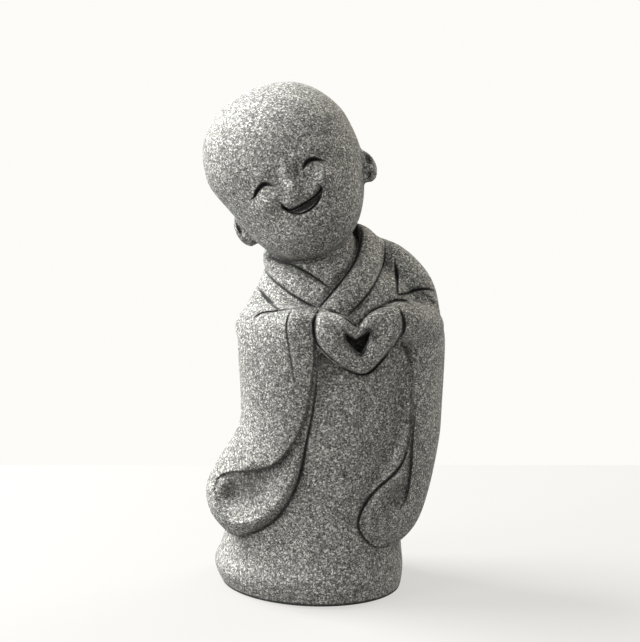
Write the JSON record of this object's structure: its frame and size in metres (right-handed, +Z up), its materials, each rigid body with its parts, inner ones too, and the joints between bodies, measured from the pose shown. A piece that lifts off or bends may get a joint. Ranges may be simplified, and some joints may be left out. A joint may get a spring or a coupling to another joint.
{
  "type": "monk garden statue",
  "caption": "Small standing child monk carved in granite, head tilted, eyes closed and smiling, in a crossed robe with long hanging sleeves, hands making a heart.",
  "frame": {"origin": "centre of the base's underside, on the ground", "axes": "+Z up, the figure looks towards -Y, +X to the viewer's right"},
  "size_m": [0.1429, 0.1137, 0.2999],
  "materials": {
    "granite": "matte, fine speckled grain"
  },
  "bodies": {
    "root": {"monk_figure": "granite"}
  },
  "joints": []
}
